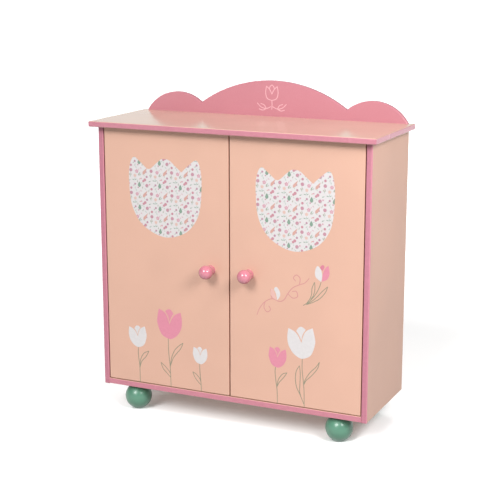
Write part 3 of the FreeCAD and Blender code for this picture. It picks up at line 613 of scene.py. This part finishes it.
# Two blossoms of five petals: ink, centre, and how far the petals' round ends are from it.
BLOSSOMS = [(blush_ink, 32.2, -14.0, 1.7), (pale_salmon_ink, 28.8, 15.6, 1.3)]
for petal_ink, centre_x, centre_z, reach in BLOSSOMS:
    for petal_turn in range(0, 360, 72):
        leaning = math.radians(petal_turn)
        petal_x = centre_x - reach * math.sin(leaning)
        petal_z = centre_z + reach * math.cos(leaning)
        PATTERN.append((PETAL, petal_ink, petal_x, petal_z, petal_turn))

# The drops stand on a square grid. Its start is the drop in column 0 and row 0, on an unshifted tulip.
PATTERN_PITCH = 36.6
PATTERN_START = (62.2, 327.6)
COLUMNS = range(-2, 5)
ROWS = range(-3, 3)
MOTIF_SIZE = 1.08
# After this many steps of PROUDER, the motifs' tops start again at the lowest.
LEVELS = 7


def patterned_tulip(side, shift):
    """The big tulip: a white ground, with the repeat of small motifs cut off at its outline."""
    board, body = f"{side}_door_panel", f"{side}_door"
    outline = smooth([(p[0] + shift[0], p[1] + shift[1]) + tuple(p[2:]) for p in BIG_TULIP])
    ground = Print(f"{side}_tulip_ground", board, body, "door_paint")
    ground.add(outline, white_ink, GROUND_TOP)
    ground.make()
    motifs = Print(f"{side}_tulip_motifs", board, body, "door_paint")
    for column in COLUMNS:
        for row in ROWS:
            drop_x = PATTERN_START[0] + shift[0] + column * PATTERN_PITCH
            drop_z = PATTERN_START[1] + shift[1] + row * PATTERN_PITCH
            for order, (shape, material, x, z, turn) in enumerate(PATTERN):
                spot = moved(shape, drop_x + x, drop_z + z, MOTIF_SIZE, turn)
                top = MOTIF_TOP + PROUDER * (order % LEVELS)
                motifs.add(clipped(outline, spot), material, top, GROUND_TOP)
    motifs.make()


patterned_tulip("right", (0.3, 0.0))
patterned_tulip("left", (0.5, 1.6))


# ---------------------------------------------------------------- the tulips along the foot of the doors

# One flower, one unit wide, its foot at the origin: the two outer petals, and the bud between them.
TULIP_CUP = [
    (0.0, 0.0), (0.3, 0.16), (0.45, 0.57), (0.43, 0.83), (0.355, 1.12, "corner"),
    (0.125, 0.99), (0.015, 0.79), (-0.045, 0.55, "corner"),
    (-0.163, 0.78), (-0.316, 0.934), (-0.53, 1.02, "corner"),
    (-0.563, 0.725), (-0.523, 0.44), (-0.383, 0.2), (-0.206, 0.055),
]
TULIP_BUD = [
    (-0.239, 0.956, "corner"), (-0.16, 1.07), (-0.083, 1.12), (0.01, 1.1), (0.105, 1.035, "corner"),
    (-0.003, 0.85), (-0.045, 0.64, "corner"), (-0.15, 0.84),
]

# The pen that drew the stems and leaves: its width in mm, and how much of that is left at a stroke's ends.
STEM_WIDTH = 1.25
STEM_ENDS = (0.75, 0.8)
TENDRIL_WIDTH = 1.3
CREST_LINE_WIDTH = 1.5
CREST_LINE_ENDS = (0.8, 0.8)


def tulip_head(drawing, material, x, z, width, angle=0.0, mirror=False):
    """A tulip `width` mm wide, whose foot is at (x, z)."""
    for part in (TULIP_CUP, TULIP_BUD):
        drawing.add(smooth(moved(part, x, z, width, angle, mirror)), material, FLOWER_TOP)


def lines(drawing, material, strokes, width=STEM_WIDTH, ends=STEM_ENDS):
    for order, stroke in enumerate(strokes):
        drawing.add(ribbon(stroke, width, ends), material, STROKE_TOP + PROUDER * order)


right_flowers = Print("right_door_flowers", "right_door_panel", "right_door", "door_paint", inset=0.3)
tulip_head(right_flowers, white_ink, 123.3, 78.8, 45.5)
tulip_head(right_flowers, pink_ink, 80.8, 58.6, 30.0, 3.0, mirror=True)
lines(right_flowers, stem_ink, [
    [(123, 80), (122.8, 62), (124.8, 44), (126.4, 26), (126.8, 0.4)],
    [(126.2, 37), (128, 45), (136, 58), (145.5, 68), (151.4, 77)],
    [(126.2, 37), (129.5, 44), (138, 52.5), (148, 65.5), (151.4, 77)],
    [(118.4, 67), (113, 57), (111.7, 44), (114, 31), (119.6, 20), (126.4, 5)],
    [(118.4, 67), (119.8, 54), (119.4, 37), (119, 25), (121, 18)],
    [(78.4, 60), (77.3, 52), (78.4, 39), (80.8, 22), (81.4, 0.4)],
    [(80.6, 27), (83, 39), (89.8, 49), (97.6, 52.4)],
    [(80.6, 27), (84.6, 35), (92, 44), (97.6, 52.4)],
])
# The small tulip by the knob, half white and half pink, with its three leaves.
right_flowers.add(smooth([
    (145.6, 228.2), (142.4, 220), (143.6, 211), (152.4, 204.4, "corner"),
    (154, 213), (152.6, 221.5), (149.2, 226.6),
]), white_ink, FLOWER_TOP)
right_flowers.add(smooth([
    (164, 230.6, "corner"), (166, 219), (162.4, 209.4), (153.6, 204.8, "corner"),
    (154.4, 214), (156.4, 222), (160, 227.6),
]), pink_ink, SIDE_PETAL_TOP)
right_flowers.add(smooth([
    (150.4, 226.4), (154.4, 231), (157.6, 228), (154.4, 221.6, "corner"),
]), deep_pink_ink, FRONT_PETAL_TOP)
lines(right_flowers, stem_ink, [
    [(152.6, 204.4), (149, 194), (143, 183), (134, 172), (123.4, 164)],
    [(141.8, 203), (137.8, 193), (137.2, 184), (134.6, 176), (129.6, 169)],
    [(141.8, 203), (142.4, 192), (140.2, 182), (135.6, 175)],
    [(163.2, 198), (154.8, 190), (146.8, 181), (139.6, 174), (129.6, 167)],
    [(163.2, 198), (159.8, 189), (151.8, 179), (141.6, 172), (128.6, 166)],
])
# A loose curling tendril with a bud of its own.
lines(right_flowers, tendril_ink, [
    [
        (46, 140), (51, 152), (60, 163), (72, 169), (84, 166), (92, 170), (98, 180), (106, 190), (117, 196),
        (126, 200), (133, 208),
    ],
    [(60, 163), (58, 154), (63, 147), (69, 151), (66, 157)],
    [(98, 180), (106, 174), (114, 177), (112, 185), (105, 184)],
    [(117, 196), (118, 206), (112, 211), (107, 206), (111, 201)],
    [(72, 169), (69.6, 176), (69.4, 184)],
], width=TENDRIL_WIDTH)
right_flowers.add(smooth([
    (79, 188.4), (84.4, 182), (84.8, 174.6), (80.4, 167.6, "corner"), (78, 178), (74.8, 185),
]), white_ink, FLOWER_TOP)
right_flowers.add(smooth([
    (69.6, 184.4, "corner"), (69, 176), (74, 170), (79.4, 167.2, "corner"), (76, 178), (73, 184),
]), peach_ink, BACK_PETAL_TOP)
right_flowers.make()

left_flowers = Print("left_door_flowers", "left_door_panel", "left_door", "door_paint", inset=1.0)
tulip_head(left_flowers, white_ink, 54.6, 59.8, 32.6)
tulip_head(left_flowers, pink_ink, 111.4, 80.8, 44.6, 3.0, mirror=True)
tulip_head(left_flowers, white_ink, 167.4, 45.8, 25.6, 6.0, mirror=True)
lines(left_flowers, stem_ink, [
    [(54, 60), (53.4, 47), (55.6, 27), (56, 0.4)],
    [(56, 25), (57.6, 39), (63.6, 50), (73.4, 55.4)],
    [(56, 25), (59.6, 36), (67.6, 45), (73.4, 55.4)],
    [(109.4, 82), (110, 57), (112.4, 32), (113.4, 0.4)],
    [(112.4, 34), (115, 49), (120.4, 62), (128.4, 71), (136.4, 77)],
    [(112.4, 34), (117.4, 48), (125.4, 59), (132, 67), (136.4, 77)],
    [(95.4, 39), (102.4, 34), (109.4, 27), (112.8, 22)],
    [(95.4, 39), (99.4, 29), (106.4, 22), (113, 15.6)],
    [(166, 46.6), (166.4, 32), (168, 15), (168.6, 0.4)],
    [(153.4, 31), (159.4, 28), (165.4, 22), (168, 15.6)],
    [(153.4, 31), (157.4, 22), (163.4, 15), (168.4, 10.6)],
])
left_flowers.make()


# ---------------------------------------------------------------- the mark on the crest

# A small outlined tulip on a stem, with a sprig to each side, in the middle of the crest board.
crest_low, crest_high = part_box("crest_board")
middle = (crest_high.x - crest_low.x) / 2 / MM
crest_mark = Print("crest_flower_mark", "crest_board", "case", "crest_paint")


def on_crest(points):
    """A stroke drawn from the middle of the crest's lower edge, put on the board."""
    return [(middle + x, z) for x, z in points]


def both_sides(points):
    """A stroke and its mirror image."""
    return [on_crest(points), on_crest([(-x, z) for x, z in points])]


lines(crest_mark, crest_ink, (
    both_sides([(0, 26), (8, 29), (11, 38), (9.6, 49)])
    + both_sides([(9.6, 49), (5, 45), (2, 40.5), (0, 36)])
    + both_sides([(4.4, 44.4), (3.2, 48.4), (0, 51.4)])
    + both_sides([(1.4, 16), (10, 12.4), (19, 14.6), (26, 21)])
    + both_sides([(10, 12.4), (13.6, 18), (20, 20.4)])
    + both_sides([(10, 12.4), (16, 9.6), (23, 11.4)])
    + [on_crest([(0, 26), (0.4, 20), (0, 11)])]
), width=CREST_LINE_WIDTH, ends=CREST_LINE_ENDS)
crest_mark.make()


# ---------------------------------------------------------------- floor, light and camera

def grey(value):
    """A grey as a linear colour."""
    return (value, value, value, 1.0)


def floor_plane(half):
    """A pale floor, 2 * half across, that glows more away from the object, to meet the white horizon."""
    mesh = bpy.data.meshes.new("floor")
    corners = [(-half, -half, 0), (half, -half, 0), (half, half, 0), (-half, half, 0)]
    mesh.from_pydata(corners, [], [(0, 1, 2, 3)])
    s = Shader("floor_pale")
    shade = s.mix(s.ramp(s.noise(1.2, detail=2.0), 0.3, 0.7), grey(0.955), grey(0.975))
    on_floor = s.stretched((1.0, 1.0, 0.0))
    away = s.node("ShaderNodeVectorMath", {0: on_floor}, operation="LENGTH").outputs["Value"]
    mesh.materials.append(s.finish(
        Base_Color=shade, Roughness=0.8, Normal=s.bump(s.noise(260.0), 0.0001, 0.2), IOR=1.3,
        Emission_Color=grey(1.0), Emission_Strength=s.ramp(away, 0.25, 2.4, 0.07, 0.36),
    ))
    floor = bpy.data.objects.new("floor", mesh)
    bpy.context.scene.collection.objects.link(floor)
    # The floor is there to be seen. The world below the horizon lights the object in its place, less harshly.
    floor.visible_diffuse = False


def direction(azimuth, elevation):
    """The unit vector from the object towards a place: degrees from straight in front to the right, and up."""
    turn, rise = math.radians(azimuth), math.radians(elevation)
    return Vector((math.sin(turn) * math.cos(rise), -math.cos(turn) * math.cos(rise), math.sin(rise)))


def distant_light(name, azimuth, elevation, strength, spread):
    """Studio light from far off, which is seen `spread` degrees across."""
    data = bpy.data.lights.new(name, "SUN")
    data.energy = strength
    data.angle = math.radians(spread)
    lamp = bpy.data.objects.new(name, data)
    bpy.context.scene.collection.objects.link(lamp)
    lamp.rotation_euler = (-direction(azimuth, elevation)).to_track_quat("-Z", "Y").to_euler()


def softbox(name, azimuth, elevation, distance, size, power):
    """A square studio light near the object, turned to its middle."""
    data = bpy.data.lights.new(name, "AREA")
    data.size = size
    data.energy = power
    lamp = bpy.data.objects.new(name, data)
    bpy.context.scene.collection.objects.link(lamp)
    away = direction(azimuth, elevation)
    lamp.location = centre + away * distance
    lamp.rotation_euler = (-away).to_track_quat("-Z", "Y").to_euler()
    lamp.visible_camera = False


low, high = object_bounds()
centre = (Vector(low) + Vector(high)) / 2

FLOOR_HALF = 30.0
floor_plane(FLOOR_HALF)

# A studio that is bright overhead, dark from 17 to 35 degrees up, and white at the horizon. Its lower half
# stands for the light that the floor throws back. Each stop: the sine of its elevation, and its brightness.
SKY = [
    (-1.0, 0.42), (-0.12, 0.42), (-0.05, 1.02), (0.07, 1.02), (0.17, 0.76), (0.29, 0.1), (0.58, 0.1),
    (0.7, 0.68), (1.0, 0.68),
]
world = bpy.data.worlds.new("studio")
bpy.context.scene.world = world
world.use_nodes = True
sky = world.node_tree
ramp = sky.nodes.new("ShaderNodeValToRGB")
split = sky.nodes.new("ShaderNodeSeparateXYZ")
where = sky.nodes.new("ShaderNodeTexCoord")
sky.links.new(where.outputs["Generated"], split.inputs[0])
rise_range = sky.nodes.new("ShaderNodeMapRange")
rise_range.inputs["From Min"].default_value = -1.0
sky.links.new(split.outputs["Z"], rise_range.inputs["Value"])
sky.links.new(rise_range.outputs[0], ramp.inputs[0])
sky.links.new(ramp.outputs["Color"], sky.nodes["Background"].inputs["Color"])
stops = ramp.color_ramp.elements
while len(stops) < len(SKY):
    stops.new(0.5)
for stop, (rise, brightness) in zip(stops, SKY):
    stop.position = (rise + 1) / 2
    stop.color = grey(brightness)

distant_light("key_left", azimuth=-8, elevation=36, strength=2.6, spread=24)
distant_light("back_fill", azimuth=236, elevation=30, strength=0.8, spread=20)
softbox("key_right", azimuth=58, elevation=32, distance=1.5, size=0.55, power=20.4)

CAMERA_AZIMUTH = 24.57
CAMERA_ELEVATION = 13.15
CAMERA_DISTANCE = 2.030
CAMERA_AIM = Vector((0.002, 0.001, 0.007))
SENSOR_WIDTH = 36.0
LENS = 90.9

camera_data = bpy.data.cameras.new("camera")
camera_data.sensor_width = SENSOR_WIDTH
camera_data.lens = LENS
camera = bpy.data.objects.new("camera", camera_data)
bpy.context.scene.collection.objects.link(camera)
towards = direction(CAMERA_AZIMUTH, CAMERA_ELEVATION)
camera.location = centre + CAMERA_AIM + towards * CAMERA_DISTANCE
camera.rotation_euler = (-towards).to_track_quat("-Z", "Y").to_euler()
bpy.context.scene.camera = camera
bpy.context.scene.view_settings.view_transform = "Standard"
